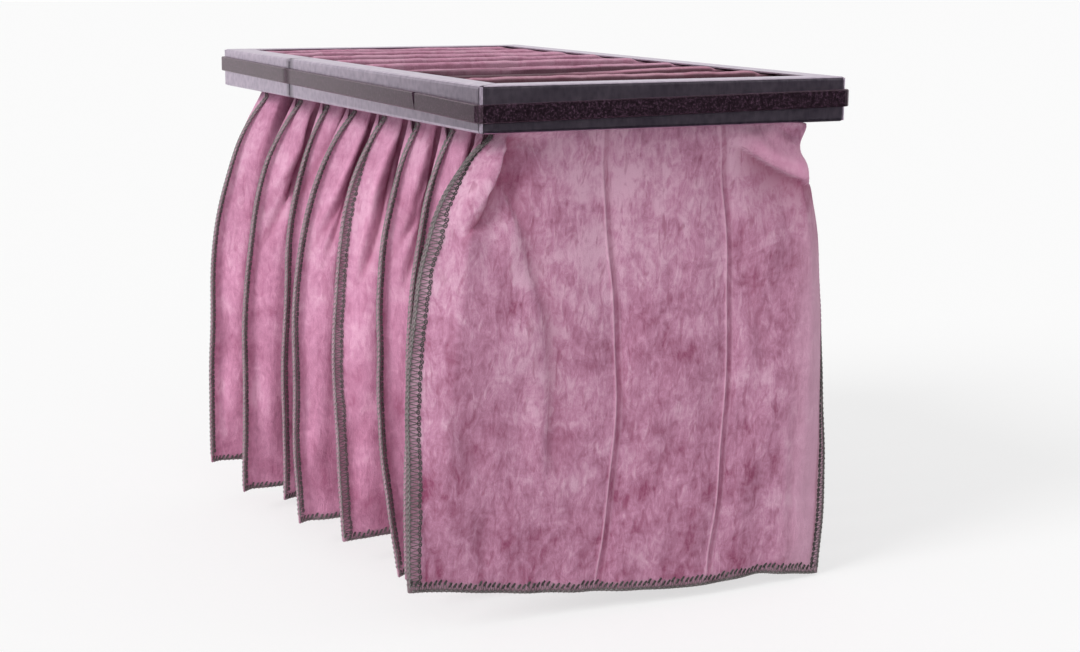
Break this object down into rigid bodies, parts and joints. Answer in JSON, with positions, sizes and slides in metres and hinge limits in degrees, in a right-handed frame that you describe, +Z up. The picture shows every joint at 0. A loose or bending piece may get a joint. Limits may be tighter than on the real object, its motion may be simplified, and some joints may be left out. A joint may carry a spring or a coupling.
{
  "type": "pocket air filter",
  "caption": "Pocket air filter: a folded steel header with a foam gasket, and media pockets sewn round three sides that hang from clip bars.",
  "frame": {"origin": "on the underside of the front rail's lip, at the middle of its length and width, in the plane that the header seats on", "axes": "+Z up out of the dirty-air side; +Y along the header's length, from the front rail to the back rail; +X to the right across the header"},
  "size_m": [0.2875, 0.4246, 0.3045],
  "materials": {
    "galvanised_steel": "galvanised, fine spangle",
    "bar_steel": "galvanised",
    "black_foam": "matt closed-cell foam",
    "pink_media": "mottled synthetic fleece",
    "overlock_thread": "dark and pale overlock thread",
    "spacer_media": "pale synthetic fleece"
  },
  "bodies": {
    "root": {"clip_bar_1": "bar_steel", "clip_bar_2": "bar_steel", "clip_bar_3": "bar_steel", "clip_bar_4": "bar_steel", "clip_bar_5": "bar_steel", "clip_bar_6": "bar_steel", "clip_bar_7": "bar_steel", "clip_bar_8": "bar_steel", "clip_bar_9": "bar_steel", "edge_stitching_1": "overlock_thread", "edge_stitching_2": "overlock_thread", "edge_stitching_3": "overlock_thread", "edge_stitching_4": "overlock_thread", "edge_stitching_5": "overlock_thread", "edge_stitching_6": "overlock_thread", "edge_stitching_7": "overlock_thread", "edge_stitching_8": "overlock_thread", "gasket_strip": "black_foam", "header_frame": "galvanised_steel", "pocket_1": "pink_media", "pocket_2": "pink_media", "pocket_3": "pink_media", "pocket_4": "pink_media", "pocket_5": "pink_media", "pocket_6": "pink_media", "pocket_7": "pink_media", "pocket_8": "pink_media", "spacer_left_1": "spacer_media", "spacer_left_2": "spacer_media", "spacer_left_3": "spacer_media", "spacer_left_4": "spacer_media", "spacer_left_5": "spacer_media", "spacer_left_6": "spacer_media", "spacer_left_7": "spacer_media", "spacer_left_8": "spacer_media", "spacer_right_1": "spacer_media", "spacer_right_2": "spacer_media", "spacer_right_3": "spacer_media", "spacer_right_4": "spacer_media", "spacer_right_5": "spacer_media", "spacer_right_6": "spacer_media", "spacer_right_7": "spacer_media", "spacer_right_8": "spacer_media"}
  },
  "joints": []
}
